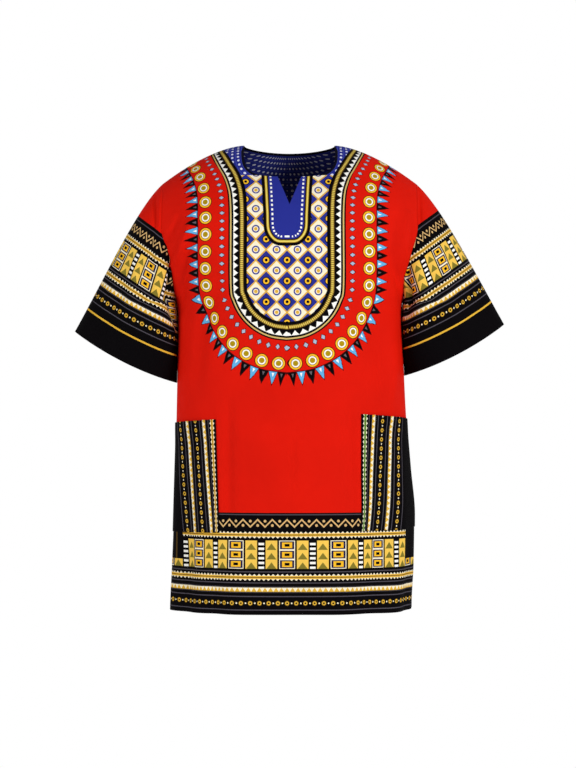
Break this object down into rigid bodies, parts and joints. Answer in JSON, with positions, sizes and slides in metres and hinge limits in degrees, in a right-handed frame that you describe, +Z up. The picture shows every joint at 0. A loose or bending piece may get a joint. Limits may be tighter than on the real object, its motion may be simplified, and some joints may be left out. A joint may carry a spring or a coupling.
{
  "type": "worn wax-print pullover shirt",
  "caption": "Loose hip-length pullover shirt with a slit round neck, wide elbow sleeves and patch pockets, held open as worn, in a bordered wax print.",
  "frame": {"origin": "middle of the neck hole, level with the neck ends of the shoulder seams, where the wearer's shoulders hold the shirt up", "axes": "+X to the wearer's left, +Y to the back, +Z up; the front faces -Y"},
  "size_m": [0.721, 0.2574, 0.7768],
  "materials": {
    "red_print": "plain-weave cotton, matt with a faint wax sheen, printed with a bib, a ring of sprigs and hem borders",
    "border_print": "plain-weave cotton, matt with a faint wax sheen, printed with rows of borders on near-black"
  },
  "bodies": {
    "root": {"front": "red_print", "back": "red_print", "sleeve_left": "border_print", "sleeve_right": "border_print", "pocket_left": "border_print", "pocket_right": "border_print"}
  },
  "joints": []
}
